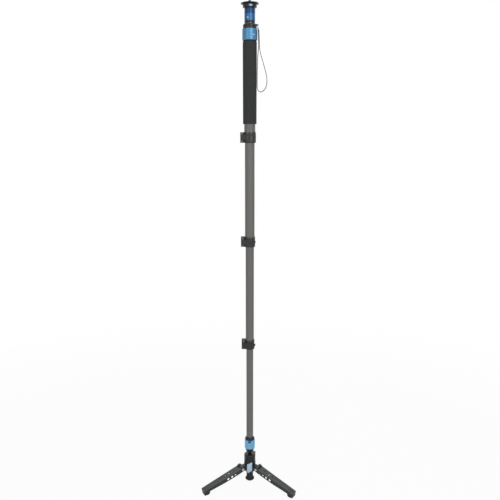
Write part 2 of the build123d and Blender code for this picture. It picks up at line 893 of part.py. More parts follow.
def build_housing():
    """Shell round the seats with its skirt, the socket collar and the lock ring."""
    bore = seat_radius + seat_clearance
    shoulder = ball_height - lower_seat_drop - running
    housing_top = base_collar_bottom - play
    with BuildPart() as seat_housing:
        revolve(
            half_section(
                (skirt_bottom_radius - skirt_lip, skirt_bottom),
                (skirt_bottom_radius, skirt_bottom),
                (skirt_radius, lock_ring_bottom),
                (housing_radius, lock_ring_bottom),
                (housing_radius, housing_top),
                (bore, housing_top),
                (bore, shoulder),
                (skirt_throat_radius, shoulder),
            ),
            axis=Axis.Z,
        )
    finish(seat_housing, "seat_housing")

    socket = tube_radii[-1] + glued
    with BuildPart() as base_collar:
        revolve(
            half_section(
                (socket_hole, socket_floor_bottom),
                (bore - glued, socket_floor_bottom),
                (bore - glued, base_collar_bottom),
                (base_collar_radius, base_collar_bottom),
                (base_collar_radius, base_collar_bottom + base_collar_rim),
                (socket + base_collar_lip, base_collar_top),
                (socket, base_collar_top),
                (socket, socket_floor_top),
                (socket_hole, socket_floor_top),
            ),
            axis=Axis.Z,
        )
    finish(base_collar, "base_collar")

    ring_bottom = lock_ring_bottom + play
    with BuildPart() as tilt_lock_ring:
        revolve(
            half_section(
                (housing_radius + running, ring_bottom),
                (lock_ring_radius - ring_edge, ring_bottom),
                (lock_ring_radius, ring_bottom + ring_edge),
                (lock_ring_radius, housing_top - ring_edge),
                (lock_ring_radius - ring_edge, housing_top),
                (housing_radius + running, housing_top),
            ),
            axis=Axis.Z,
        )
        for azimuth in leg_azimuths:
            outward = azimuth + 180
            face = Plane(
                origin=direction(outward) * (lock_ring_radius - ring_notch_depth),
                x_dir=direction(outward + 90),
                z_dir=direction(outward),
            )
            with BuildSketch(face):
                with Locations((0, housing_top - ring_edge - ring_notch_height / 2)):
                    RectangleRounded(ring_notch_width, ring_notch_height, ring_edge)
            extrude(amount=overrun, mode=Mode.SUBTRACT)
    finish(tilt_lock_ring, "tilt_lock_ring")


def build_tubes():
    """The four tubes and the guide bushes on the inner ones."""
    for index, radius in enumerate(tube_radii):
        with BuildPart() as tube:
            with BuildSketch(Plane.XY.offset(tube_bottoms[index])):
                Circle(radius)
                Circle(radius - tube_wall, mode=Mode.SUBTRACT)
            extrude(amount=tube_tops[index] - tube_bottoms[index])
        finish(tube, f"tube_{index + 1}")

        if index > 0:
            top = tube_tops[index]
            outer = tube_radii[index - 1] - tube_wall - running
            with BuildPart() as tube_bush:
                revolve(
                    half_section(
                        (radius + glued, top - tube_bush_length),
                        (outer, top - tube_bush_length),
                        (outer, top + tube_bush_lip),
                        (radius - tube_wall, top + tube_bush_lip),
                        (radius - tube_wall, top),
                        (radius + glued, top),
                    ),
                    axis=Axis.Z,
                )
            finish(tube_bush, f"tube_bush_{index + 1}")


def build_lock(index):
    """One flip lock: split collar, shim, eye bolts with the pivot pin, and lever."""
    number = index + 1
    bottom = lock_bottoms[index]
    upper_radius = tube_radii[index]
    lower_radius = tube_radii[index + 1]
    outer = upper_radius + collar_wall
    shim_bore = lower_radius + running
    shim_outer = lower_radius + shim_thickness
    reach = block_reaches[index]
    half_block = block_thickness / 2
    pivot_x = -(outer + pivot_outside)
    pivot_y = -(half_block + pivot_ahead)
    bolt_heights = [bottom + bolt_edge_distance, bottom + lock_height - bolt_edge_distance]

    with BuildPart() as lock_collar:
        with BuildSketch(Plane.XY.offset(bottom)):
            Circle(outer)
        extrude(amount=lock_height)
        chamfer(lock_collar.edges().group_by(Axis.Z)[0], collar_edge)
        with BuildSketch(Plane.XY.offset(bottom + lock_height - crown_depth)):
            with PolarLocations(outer, crown_count, start_angle=front_azimuth + 180 / crown_count):
                Rectangle(outer, crown_width)
        extrude(amount=crown_depth + overrun, mode=Mode.SUBTRACT)
        with BuildSketch(Plane.XY.offset(bottom)):
            with Locations((-(reach + outer - block_root) / 2, 0)):
                RectangleRounded(reach - outer + block_root, block_thickness, block_edge)
        extrude(amount=lock_height)
        with BuildSketch(Plane.XY.offset(bottom)):
            Circle(lower_radius + play)
        extrude(amount=lock_height, mode=Mode.SUBTRACT)
        with BuildSketch(Plane.XY.offset(bottom + collar_lip)):
            Circle(shim_outer + glued)
        extrude(amount=lock_height, mode=Mode.SUBTRACT)
        with BuildSketch(Plane.XY.offset(bottom + lock_height - tube_in_collar)):
            Circle(upper_radius + glued)
        extrude(amount=lock_height, mode=Mode.SUBTRACT)
        with BuildSketch(Plane.XY.offset(bottom)):
            with Locations((-reach, 0)):
                Rectangle(2 * (reach - lower_radius), slit_width)
        extrude(amount=lock_height, mode=Mode.SUBTRACT)
        with BuildSketch(Plane.XZ):
            for height in bolt_heights:
                with Locations((pivot_x, height)):
                    Circle(bolt_radius + running)
        extrude(amount=block_thickness, both=True, mode=Mode.SUBTRACT)
    finish(lock_collar, f"lock_collar_{number}")

    with BuildPart() as lock_shim:
        with BuildSketch(Plane.XY.offset(bottom + collar_lip + glued)):
            Circle(shim_outer)
            Circle(shim_bore, mode=Mode.SUBTRACT)
            with Locations((-shim_outer, 0)):
                Rectangle(shim_outer, slit_width, mode=Mode.SUBTRACT)
        extrude(amount=shim_length)
    finish(lock_shim, f"lock_shim_{number}")

    nut_face = half_block + glued
    with BuildPart() as lock_bolts:
        for height in bolt_heights:
            with BuildSketch(Plane.XY.offset(height - bolt_eye_height / 2)):
                with Locations((pivot_x, pivot_y)):
                    Circle(bolt_eye_radius)
            extrude(amount=bolt_eye_height)
            with BuildSketch(Plane.XZ.offset(-pivot_y)):
                with Locations((pivot_x, height)):
                    Circle(bolt_radius)
            extrude(amount=pivot_y - nut_face - bolt_nut_height - bolt_tail)
        with BuildSketch(Plane.XY.offset(bottom)):
            with Locations((pivot_x, pivot_y)):
                Circle(pivot_radius + glued)
        extrude(amount=lock_height, mode=Mode.SUBTRACT)
    nuts = []
    for height in bolt_heights:
        with BuildPart() as nut:
            with BuildSketch(Plane.XZ.offset(-nut_face)):
                with Locations((pivot_x, height)):
                    RegularPolygon(bolt_nut_flats / 2, 6, major_radius=False)
                    Circle(bolt_radius + glued, mode=Mode.SUBTRACT)
            extrude(amount=-bolt_nut_height)
        nuts.append(nut.part)
    pin_start = bolt_heights[0] - bolt_eye_height / 2 - play
    pin_end = bolt_heights[1] + bolt_eye_height / 2 + play
    with BuildPart() as pivot_pin:
        with BuildSketch(Plane.XY.offset(pin_start)):
            with Locations((pivot_x, pivot_y)):
                Circle(pivot_radius)
        extrude(amount=pin_end - pin_start)
    with BuildPart() as lock_hardware:
        add(lock_bolts.part)
        for nut_part in nuts:
            add(nut_part)
        add(pivot_pin.part)
    finish(lock_hardware, f"lock_bolts_{number}")

    build_lever(number, bottom, outer, lever_tips[index], pivot_x, pivot_y)


def build_lever(number, bottom, collar_radius, tip_reach, pivot_x, pivot_y):
    """Cam lever that wraps round the front of its collar and ends in a flared leaf."""
    inner = collar_radius + lever_gap
    outer = inner + lever_thickness
    middle = bottom + lever_middle
    top = middle + lever_half_height
    leaf_inner = Vector(*polar(inner, lever_leaf_azimuth))
    leaf_outer = Vector(*polar(outer, lever_leaf_azimuth))
    along = Vector(*polar(1, lever_leaf_azimuth + 90))
    flare = (tip_reach - leaf_outer.X) / along.X
    tip_outer = leaf_outer + along * flare
    tip_inner = tip_outer + (leaf_inner - leaf_outer) * (lever_tip_thickness / lever_thickness)
    arc_middle = (lever_start_azimuth + lever_leaf_azimuth) / 2
    with BuildPart() as lock_lever:
        with BuildSketch(Plane.XY.offset(bottom)):
            with BuildLine():
                ThreePointArc(
                    polar(inner, lever_start_azimuth),
                    polar(inner, arc_middle),
                    polar(inner, lever_leaf_azimuth),
                )
                Polyline(
                    polar(inner, lever_leaf_azimuth),
                    (tip_inner.X, tip_inner.Y),
                    (tip_outer.X, tip_outer.Y),
                    polar(outer, lever_leaf_azimuth),
                )
                ThreePointArc(
                    polar(outer, lever_leaf_azimuth),
                    polar(outer, (lever_join_azimuth + lever_leaf_azimuth) / 2),
                    polar(outer, lever_join_azimuth),
                )
                Polyline(
                    polar(outer, lever_join_azimuth),
                    (pivot_x, pivot_y - cam_radius + cam_throw),
                    (pivot_x + cam_radius * 2 / 3, pivot_y + cam_radius * 3 / 4),
                    polar(inner, lever_start_azimuth),
                )
            make_face()
            with Locations((pivot_x, pivot_y + cam_throw)):
                Circle(cam_radius)
            with Locations((pivot_x, pivot_y)):
                Circle(pivot_radius + running, mode=Mode.SUBTRACT)
        extrude(amount=lock_height)
        with BuildSketch(Plane.XZ):
            with BuildLine():
                Polyline(
                    (lever_shoulder_place, middle + lever_shoulder_rise),
                    (-lever_shoulder_place, top),
                    (pivot_x - 2 * cam_radius, top),
                    (pivot_x - 2 * cam_radius, middle - lever_half_height),
                    (-lever_shoulder_place, middle - lever_half_height),
                )
                Spline(
                    (-lever_shoulder_place, middle - lever_half_height),
                    (lever_lobe_place, middle - lever_lobe_drop),
                    (tip_reach, middle - lever_tip_drop),
                    tangents=[(1, -0.6), (0.5, 1)],
                )
                Line((tip_reach, middle - lever_tip_drop), (tip_reach, middle + lever_tip_rise))
                Line(
                    (tip_reach, middle + lever_tip_rise),
                    (lever_shoulder_place, middle + lever_shoulder_rise),
                )
            make_face()
        extrude(amount=2 * outer, both=True, mode=Mode.INTERSECT)
        dish = direction(lever_dish_azimuth) * (outer + lever_dish_radius - lever_dish_depth)
        with Locations((dish.X, dish.Y, middle - lever_dish_drop)):
            Sphere(lever_dish_radius, mode=Mode.SUBTRACT)
    finish(lock_lever, f"lock_lever_{number}")


def build_grip():
    """Foam sleeve on the top tube."""
    bore = tube_radii[0] + glued
    shoulder = grip_top - grip_shoulder_length
    with BuildPart() as grip:
        revolve(
            half_section(
                (bore, grip_bottom),
                (grip_foot_radius - grip_foot_edge, grip_bottom),
                (grip_foot_radius, grip_bottom + grip_foot_edge),
                (grip_radius, shoulder),
                (grip_shoulder_radius, grip_top),
                (bore, grip_top),
            ),
            axis=Axis.Z,
        )
    finish(grip, "grip")


def build_head_collar():
    """Black collar with the sleeve for the lock ring and the lug for the strap."""
    bore = tube_radii[0] + glued
    with BuildPart() as head_collar:
        revolve(
            half_section(
                (bore, grip_top + play),
                (sleeve_radius, grip_top + play),
                (sleeve_radius, collar_bottom),
                (head_collar_radius, collar_bottom),
                (head_collar_radius, collar_top - head_collar_chamfer),
                (head_collar_top_radius, collar_top),
                (bore, collar_top),
            ),
            axis=Axis.Z,
        )
        with BuildSketch(Plane.XZ):
            with BuildLine():
                Polyline(
                    (sleeve_radius, lug_height - 2 * lug_eye_radius),
                    (lug_reach, lug_height - lug_eye_radius),
                    (lug_reach, lug_height + lug_eye_radius),
                    (head_collar_top_radius, collar_top),
                    close=True,
                )
            make_face()
            with Locations((lug_reach, lug_height)):
                Circle(lug_eye_radius)
                Circle(lug_hole_radius, mode=Mode.SUBTRACT)
        extrude(amount=lug_thickness / 2, both=True)
    finish(head_collar, "head_collar")

    with BuildPart() as pan_lock_ring:
        revolve(
            half_section(
                (sleeve_radius + running, grip_top + play),
                (pan_ring_radius - pan_ring_chamfer, grip_top + play),
                (pan_ring_radius, grip_top + play + pan_ring_chamfer),
                (pan_ring_radius, pan_ring_top - ring_edge),
                (pan_ring_radius - ring_edge, pan_ring_top),
                (sleeve_radius + running, pan_ring_top),
            ),
            axis=Axis.Z,
        )
    finish(pan_lock_ring, "pan_lock_ring")


def build_head_core():
    """Plug in the top tube, the spindle that the head turns on, and the bright trim ring."""
    plug_radius = tube_radii[0] - tube_wall - glued
    tube_top = tube_tops[0]
    plug_bottom = tube_top - plug_depth
    bush_radius = spindle_radius + running + spindle_bush_wall
    floor_top = neck_bottom + neck_floor
    with BuildPart() as head_plug:
        revolve(
            half_section(
                (spindle_radius + glued, plug_bottom),
                (plug_radius, plug_bottom),
                (plug_radius, tube_top),
                (plug_flange_radius, tube_top),
                (plug_flange_radius, collar_top),
                (spindle_radius + glued, collar_top),
            ),
            axis=Axis.Z,
        )
    finish(head_plug, "head_plug")

    with BuildPart() as collar_trim_ring:
        with BuildSketch(Plane.XY.offset(collar_top)):
            Circle(trim_radius)
            Circle(trim_bore, mode=Mode.SUBTRACT)
        extrude(amount=trim_height)
        chamfer(collar_trim_ring.edges().group_by(Axis.Z)[-1].sort_by(SortBy.RADIUS)[-1], ring_edge)
    finish(collar_trim_ring, "collar_trim_ring")

    head_bottom = floor_top + play
    head_end = head_bottom + spindle_head_height
    with BuildPart() as head_spindle:
        revolve(
            half_section(
                (0, tube_top - spindle_in_plug),
                (spindle_radius, tube_top - spindle_in_plug),
                (spindle_radius, head_bottom),
                (spindle_head_radius, head_bottom),
                (spindle_head_radius, head_end - spindle_head_chamfer),
                (spindle_head_radius - spindle_head_chamfer, head_end),
                (0, head_end),
            ),
            axis=Axis.Z,
        )
    finish(head_spindle, "head_spindle")

    with BuildPart() as spindle_bush:
        with BuildSketch(Plane.XY.offset(band_bottom)):
            Circle(bush_radius)
            Circle(spindle_radius + running, mode=Mode.SUBTRACT)
        extrude(amount=floor_top - band_bottom)
    finish(spindle_bush, "spindle_bush")

    with BuildPart() as neck_band:
        with BuildSketch(Plane.XY.offset(band_bottom)):
            Circle(band_radius)
            Circle(bush_radius + glued, mode=Mode.SUBTRACT)
        extrude(amount=band_height)
        chamfer(neck_band.edges().group_by(Axis.Z)[0].sort_by(SortBy.RADIUS)[-1], neck_edge)
    finish(neck_band, "neck_band")

    groove = neck_bottom + neck_groove_height
    with BuildPart() as blue_neck:
        revolve(
            half_section(
                (bush_radius + glued, neck_bottom),
                (neck_radius - neck_edge, neck_bottom),
                (neck_radius, neck_bottom + neck_edge),
                (neck_radius, groove),
                (neck_radius - neck_groove_depth, groove),
                (neck_radius - neck_groove_depth, groove + neck_groove_width),
                (neck_radius, groove + neck_groove_width),
                (neck_radius, neck_top - neck_edge),
                (neck_radius - neck_edge, neck_top),
                (neck_cavity_radius, neck_top),
                (neck_cavity_radius, floor_top),
                (bush_radius + glued, floor_top),
            ),
            axis=Axis.Z,
        )
    finish(blue_neck, "blue_neck")


def build_plate():
    """Frame with windows, thumb wheel and screw, plate, its pad and its screws."""
    floor = frame_bottom + frame_floor
    wheel_pocket = wheel_radius + wheel_ring_gap
    with BuildPart() as plate_frame:
        revolve(
            half_section(
                (0, neck_top - frame_spigot_length),
                (neck_cavity_radius - glued, neck_top - frame_spigot_length),
                (neck_cavity_radius - glued, neck_top),
                (frame_waist_radius, neck_top),
                (frame_waist_radius, frame_bottom),
                (frame_radius - frame_floor, frame_bottom),
                (frame_radius, floor),
                (frame_radius, plate_bottom),
                (wheel_pocket, plate_bottom),
                (wheel_pocket, floor),
                (0, floor),
            ),
            axis=Axis.Z,
        )
        for azimuth in leg_azimuths:
            outward = azimuth + 180 + frame_window_turn
            face = Plane(
                origin=direction(outward) * (wheel_pocket / 2),
                x_dir=direction(outward + 90),
                z_dir=direction(outward),
            )
            with BuildSketch(face):
                with Locations((0, (floor + plate_bottom + overrun) / 2)):
                    Rectangle(frame_window_width, plate_bottom + overrun - floor)
            extrude(amount=frame_radius, mode=Mode.SUBTRACT)
        with BuildSketch(Plane.XY.offset(plate_bottom)):
            with PolarLocations(plate_screw_circle, len(leg_azimuths), start_angle=leg_azimuths[0]):
                Circle(plate_screw_radius + glued)
        extrude(amount=-(plate_screw_length - plate_height + pad_recess + play), mode=Mode.SUBTRACT)
    finish(plate_frame, "plate_frame")

    stud_hole = camera_shank_radius + glued
    with BuildPart() as stud_wheel:
        with BuildSketch(Plane.XY.offset(floor + play)):
            Circle(wheel_radius)
            Circle(stud_hole, mode=Mode.SUBTRACT)
        extrude(amount=plate_bottom - floor - 2 * play)
    finish(stud_wheel, "stud_wheel")

    stud_end = pad_top + camera_stud_length
    thread_start = pad_top + camera_shank_rise
    with BuildPart() as camera_stud:
        with BuildSketch(Plane.XY.offset(floor + play)):
            Circle(camera_shank_radius)
        extrude(amount=thread_start - floor - play)
        with BuildSketch(Plane.XY.offset(thread_start)):
            Circle(camera_stud_radius)
        extrude(amount=stud_end - thread_start)
        chamfer(camera_stud.edges().group_by(Axis.Z)[-1], camera_stud_chamfer)
    finish(camera_stud, "camera_stud")

    bore = camera_shank_radius + running
    pad_floor = plate_top - pad_recess
    screw_head_floor = pad_floor - plate_screw_head_height
    with BuildPart() as top_plate:
        revolve(
            half_section(
                (bore, plate_bottom),
                (plate_dish_radius, plate_bottom),
                (plate_radius - plate_edge, plate_bottom + plate_edge_start),
                (plate_radius, plate_bottom + plate_edge_start + plate_edge),
                (plate_radius, plate_top - plate_edge),
                (plate_radius - plate_edge, plate_top),
                (pad_radius + glued, plate_top),
                (pad_radius + glued, pad_floor),
                (bore, pad_floor),
            ),
            axis=Axis.Z,
        )
        with BuildSketch(Plane.XY.offset(plate_bottom)):
            with PolarLocations(plate_screw_circle, len(leg_azimuths), start_angle=leg_azimuths[0]):
                Circle(plate_screw_radius + play)
        extrude(amount=plate_height, mode=Mode.SUBTRACT)
        with BuildSketch(Plane.XY.offset(screw_head_floor)):
            with PolarLocations(plate_screw_circle, len(leg_azimuths), start_angle=leg_azimuths[0]):
                Circle(plate_screw_head_radius + play / 2)
        extrude(amount=plate_height, mode=Mode.SUBTRACT)
    finish(top_plate, "top_plate")

    with BuildPart() as plate_screws:
        with BuildSketch(Plane.XY.offset(pad_floor - plate_screw_length)):
            with PolarLocations(plate_screw_circle, len(leg_azimuths), start_angle=leg_azimuths[0]):
                Circle(plate_screw_radius)
        extrude(amount=plate_screw_length)
        with BuildSketch(Plane.XY.offset(screw_head_floor)):
            with PolarLocations(plate_screw_circle, len(leg_azimuths), start_angle=leg_azimuths[0]):
                Circle(plate_screw_head_radius)
        extrude(amount=plate_screw_head_height)
    finish(plate_screws, "plate_screws")

    with BuildPart() as plate_pad:
        with BuildSketch(Plane.XY.offset(pad_floor)):
            Circle(pad_radius)
            Circle(pad_hole_radius, mode=Mode.SUBTRACT)
            with PolarLocations(plate_screw_circle, len(leg_azimuths), start_angle=leg_azimuths[0]):
                Circle(plate_screw_head_radius, mode=Mode.SUBTRACT)
        extrude(amount=pad_thickness)
    finish(plate_pad, "plate_pad")


def route_radii(points):
    """Arc radius at each corner of a route, as large as its two runs allow."""
    vectors = [Vector(x, 0, z) for x, z in points]
    radii = []
    for before, corner, after in zip(vectors, vectors[1:], vectors[2:]):
        run_in = corner - before
        run_out = after - corner
        half_turn = math.radians(run_in.get_angle(run_out)) / 2
        radii.append(strap_arc_share * min(run_in.length, run_out.length) / math.tan(half_turn))
    return radii


def build_strap():
    """Ring in the lug, tab on the ring, and the loop of webbing sewn into the tab."""
    ring_centre = lug_height - strap_ring_radius
    eye_height = ring_centre - strap_ring_radius
    with BuildPart() as strap_ring:
        with BuildSketch(Plane.XZ):
            with Locations((lug_reach, ring_centre + strap_ring_radius)):
                Circle(strap_ring_wire)
        ring_axis = Axis((lug_reach, 0, ring_centre), (1, 0, 0))
        revolve(axis=ring_axis)
    finish(strap_ring, "strap_ring")

    tab_top = (tab_top_reach, collar_top - tab_top_drop - 2 * strap_ring_radius)
    tab_bottom = (tab_bottom_reach, eye_height - tab_bottom_drop)
    with BuildPart() as strap_tab:
        with BuildSketch(Plane.XZ):
            with BuildLine():
                Polyline(
                    (tab_top[0] - tab_half_thickness, tab_top[1]),
                    (tab_top[0] + tab_half_thickness, tab_top[1]),
                    (tab_bottom[0] + tab_half_thickness, tab_bottom[1]),
                    (tab_bottom[0] - tab_half_thickness, tab_bottom[1]),
                    close=True,
                )
            make_face()
        extrude(amount=tab_width / 2, both=True)
        fillet(strap_tab.edges().filter_by(Axis.Y, reverse=True).filter_by(Axis.X, reverse=True), tab_edge)
        with BuildSketch(Plane.XZ):
            with BuildLine():
                Polyline(
                    (lug_reach - tab_neck_half, eye_height),
                    (lug_reach + tab_neck_half, eye_height),
                    (tab_top[0] + tab_neck_half, tab_top[1] - tab_edge),
                    (tab_top[0] - tab_neck_half, tab_top[1] - tab_edge),
                    close=True,
                )
            make_face()
            with Locations((lug_reach, eye_height)):
                Circle(tab_eye_radius)
        extrude(amount=tab_neck_width / 2, both=True)
        with BuildSketch(Plane.XZ):
            with Locations((lug_reach, eye_height)):
                Circle(lug_hole_radius)
        extrude(amount=tab_width, both=True, mode=Mode.SUBTRACT)
    finish(strap_tab, "strap_tab")

    radii = route_radii(strap_route)
    print("strap radii:", [round(radius, 1) for radius in radii])
    with BuildPart() as wrist_strap:
        with BuildLine(Plane.XZ) as route:
            FilletPolyline(*strap_route, radius=radii)
        start = Plane(origin=route.line @ 0, x_dir=(0, 1, 0), z_dir=route.line % 0)
        with BuildSketch(start):
            Rectangle(strap_width, strap_thickness)
        sweep()
    length = sum(edge.length for edge in route.edges())
    print("strap length:", round(length, 1))
    print("strap fill:", round(wrist_strap.part.volume / (length * strap_width * strap_thickness), 4))
    finish(wrist_strap, "wrist_strap")


build_hub()
build_hub_inlays()
build_foot()
build_hinge_pins()
for leg_number, leg_azimuth in enumerate(leg_azimuths, start=1):
    build_leg(leg_number, leg_azimuth)
    build_foot_pad(leg_number, leg_azimuth)
build_ball_stud()
build_seats()
build_housing()
build_tubes()
for lock_index in range(len(lock_bottoms)):
    build_lock(lock_index)
build_grip()
build_head_collar()
build_head_core()
build_plate()
build_strap()
print("locks at", lock_bottoms, "grip", grip_bottom, grip_top, "collar", collar_bottom, collar_top)
print("neck", neck_bottom, neck_top, "plate", plate_bottom, plate_top, "pad", pad_top, "lug", lug_height)
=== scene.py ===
import json
import math

import bpy
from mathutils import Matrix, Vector

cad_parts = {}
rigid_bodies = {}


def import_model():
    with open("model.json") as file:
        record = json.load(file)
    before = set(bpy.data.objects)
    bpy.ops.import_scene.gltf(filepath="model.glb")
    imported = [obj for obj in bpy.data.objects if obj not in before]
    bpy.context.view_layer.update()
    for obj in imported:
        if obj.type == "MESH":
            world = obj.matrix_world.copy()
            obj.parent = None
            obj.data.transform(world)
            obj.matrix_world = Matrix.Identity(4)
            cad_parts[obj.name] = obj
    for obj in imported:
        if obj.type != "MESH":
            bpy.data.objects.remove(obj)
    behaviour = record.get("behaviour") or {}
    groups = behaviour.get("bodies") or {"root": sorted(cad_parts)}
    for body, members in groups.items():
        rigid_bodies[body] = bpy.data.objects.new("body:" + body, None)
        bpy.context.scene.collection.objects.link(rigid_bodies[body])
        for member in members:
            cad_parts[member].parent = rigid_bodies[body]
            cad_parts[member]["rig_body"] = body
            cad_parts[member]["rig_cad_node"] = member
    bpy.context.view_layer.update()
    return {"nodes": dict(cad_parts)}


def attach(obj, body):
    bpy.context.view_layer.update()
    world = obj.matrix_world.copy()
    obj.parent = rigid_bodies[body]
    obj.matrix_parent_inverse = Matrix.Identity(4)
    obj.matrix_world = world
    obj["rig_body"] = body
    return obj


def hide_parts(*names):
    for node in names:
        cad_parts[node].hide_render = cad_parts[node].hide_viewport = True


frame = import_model()
nodes = frame["nodes"]
scene = bpy.context.scene

# Studio: a pale floor in front of a white surround, and broad soft lamps. The camera stands
# two metres in front of the pole, a little above its middle, and looks slightly down.
CAMERA_PLACE = (0.1026, -1.9573, 1.2097)
CAMERA_TURN = (math.radians(79.72), 0, math.radians(2.98))
CAMERA_LENS = 42.5
FLOOR_SIZE = 24
SURROUND_LIGHT = 0.24
SURROUND_WHITE = 1.0
FLOOR_GLOW = 0.93
FLOOR_SHADE_RADIUS = 1.1
PAPER_CLOUDS = 0.05
# name, place, side length, watts
LAMPS = [
    ("lamp_front_right", (1.35, -2.7, 1.7), 2.0, 46),
    ("lamp_front_left", (-1.5, -2.6, 1.4), 1.5, 20),
    ("lamp_back_left", (-1.0, 2.7, 2.2), 1.8, 20),
    ("lamp_back_right", (1.2, 2.5, 1.8), 1.8, 18),
    ("lamp_top", (0.1, -0.3, 3.2), 1.2, 14),
]
LAMP_AIM = Vector((0, 0, 0.85))


class Shade:
    """A number that a material's nodes give. Python's operators on it add Math nodes."""

    def __init__(self, finish, socket):
        self.finish = finish
        self.socket = socket

    def math(self, operation, *others):
        inputs = dict(enumerate([self, *others]))
        return self.finish.node("ShaderNodeMath", {"operation": operation}, inputs)

    def flipped(self, operation, other):
        return self.finish.node("ShaderNodeMath", {"operation": operation}, {0: other, 1: self})

    def __add__(self, other):
        return self.math("ADD", other)

    def __radd__(self, other):
        return self.flipped("ADD", other)

    def __sub__(self, other):
        return self.math("SUBTRACT", other)

    def __rsub__(self, other):
        return self.flipped("SUBTRACT", other)

    def __mul__(self, other):
        return self.math("MULTIPLY", other)

    def __rmul__(self, other):
        return self.flipped("MULTIPLY", other)

    def __truediv__(self, other):
        return self.math("DIVIDE", other)

    def __rtruediv__(self, other):
        return self.flipped("DIVIDE", other)

    def __pow__(self, other):
        return self.math("POWER", other)

    def __lt__(self, other):
        return self.math("LESS_THAN", other)

    def __gt__(self, other):
        return self.math("GREATER_THAN", other)


class NodeTree:
    """A tree of shader nodes that is built up node by node."""

    def __init__(self, tree):
        self.tree = tree

    def node(self, kind, settings=None, inputs=None, output=0):
        """The output of a new node with these settings, and values or links on its inputs."""
        made = self.tree.nodes.new(kind)
        for name, value in (settings or {}).items():
            setattr(made, name, value)
        for socket, value in (inputs or {}).items():
            if isinstance(value, Shade):
                self.tree.links.new(value.socket, made.inputs[socket])
            else:
                made.inputs[socket].default_value = value
        return Shade(self, made.outputs[output])


class Finish(NodeTree):
    """A material with a principled shader."""

    def __init__(self, name, **plain):
        self.material = bpy.data.materials.new(name)
        self.material.use_nodes = True
        super().__init__(self.material.node_tree)
        self.shader = self.tree.nodes["Principled BSDF"]
        for socket, value in plain.items():
            self.shader.inputs[socket.replace("_", " ")].default_value = value

    def place(self, scale=(1, 1, 1)):
        """Where a point of the piece is, in metres, times the scale."""
        spot = self.node("ShaderNodeTexCoord", output="Object")
        return self.node("ShaderNodeMapping", None, {"Vector": spot, "Scale": scale})

    def axes(self, spot=None):
        """The x, y and z of a point."""
        split = self.tree.nodes.new("ShaderNodeSeparateXYZ")
        self.tree.links.new((spot or self.place()).socket, split.inputs[0])
        return [Shade(self, socket) for socket in split.outputs]

    def noise(self, size, detail=2, scale=(1, 1, 1)):
        """Soft random clouds about this many metres across, from 0 to 1."""
        inputs = {"Vector": self.place(scale), "Scale": 1 / size, "Detail": detail}
        return self.node("ShaderNodeTexNoise", None, inputs)

    def mix(self, share, low, high):
        """Colour between low and high."""
        return self.node("ShaderNodeMix", {"data_type": "RGBA"}, {0: share, 6: low, 7: high}, 2)

    def spread(self, share, low, high):
        """Number between low and high."""
        return share * (high - low) + low

    def bump(self, height, depth, strength=1):
        """Surface raised by the height, 0 to 1, times the depth in metres."""
        inputs = {"Height": height, "Distance": depth, "Strength": strength}
        self.feed("Normal", self.node("ShaderNodeBump", None, inputs))

    def feed(self, socket, value):
        self.tree.links.new(value.socket, self.shader.inputs[socket])

    def onto(self, *pieces):
        """Give pieces, or CAD nodes by name, this finish."""
        for piece in pieces:
            piece = nodes[piece] if isinstance(piece, str) else piece
            piece.data.materials.clear()
            piece.data.materials.append(self.material)


def linear(red, green, blue):
    """Colour from steps of 0 to 255."""
    steps = [channel / 255 for channel in (red, green, blue)]
    return (*[s / 12.92 if s <= 0.04045 else ((s + 0.055) / 1.055) ** 2.4 for s in steps], 1)


def seen_directly(owner):
    """1 for rays from the camera, a gloss or a glass, which see the white surround."""
    path = owner.node("ShaderNodeLightPath", None, None, "Is Camera Ray")
    gloss = Shade(owner, path.socket.node.outputs["Is Glossy Ray"])
    glass = Shade(owner, path.socket.node.outputs["Is Transmission Ray"])
    return path.math("MAXIMUM", gloss).math("MAXIMUM", glass)


scene.view_settings.view_transform = "Standard"
camera = bpy.data.objects.new("camera", bpy.data.cameras.new("camera"))
camera.data.lens = CAMERA_LENS
camera.location = CAMERA_PLACE
camera.rotation_euler = CAMERA_TURN
scene.collection.objects.link(camera)
scene.camera = camera

for lamp_name, lamp_place, lamp_side, lamp_watts in LAMPS:
    lamp = bpy.data.objects.new(lamp_name, bpy.data.lights.new(lamp_name, "AREA"))
    lamp.data.size = lamp_side
    lamp.data.energy = lamp_watts
    lamp.location = lamp_place
    lamp.rotation_euler = (LAMP_AIM - lamp.location).to_track_quat("-Z", "Y").to_euler()
    scene.collection.objects.link(lamp)

surround = bpy.data.worlds.new("surround")
surround.use_nodes = True
scene.world = surround
sky = NodeTree(surround.node_tree)
sky_light = seen_directly(sky) * (SURROUND_WHITE - SURROUND_LIGHT) + SURROUND_LIGHT
sky.tree.nodes["Background"].inputs["Color"].default_value = (1, 1, 1, 1)
sky.tree.links.new(sky_light.socket, sky.tree.nodes["Background"].inputs["Strength"])

bpy.ops.object.select_all(action="DESELECT")
bpy.ops.mesh.primitive_grid_add(x_subdivisions=4, y_subdivisions=4, size=FLOOR_SIZE)
floor = bpy.context.object
floor.name = "floor"
paper = Finish("white_paper", Roughness=0.9)
paper_grain = paper.noise(PAPER_CLOUDS)
paper.feed("Base Color", paper.mix(paper_grain, linear(240, 240, 240), linear(246, 246, 246)))
glow = paper.node("ShaderNodeEmission", None, {"Color": (1, 1, 1, 1), "Strength": 1.0})
floor_x, floor_y = paper.axes()[:2]
away = (floor_x ** 2 + floor_y ** 2) ** 0.5 / FLOOR_SHADE_RADIUS - 1
away = away.math("MAXIMUM", 0).math("MINIMUM", 1)
glow_share = seen_directly(paper) * (away * (1 - FLOOR_GLOW) + FLOOR_GLOW)
shaded = Shade(paper, paper.shader.outputs[0])
both = paper.node("ShaderNodeMixShader", None, {0: glow_share, 1: shaded, 2: glow})
paper.tree.links.new(both.socket, paper.tree.nodes["Material Output"].inputs["Surface"])
paper.onto(floor)

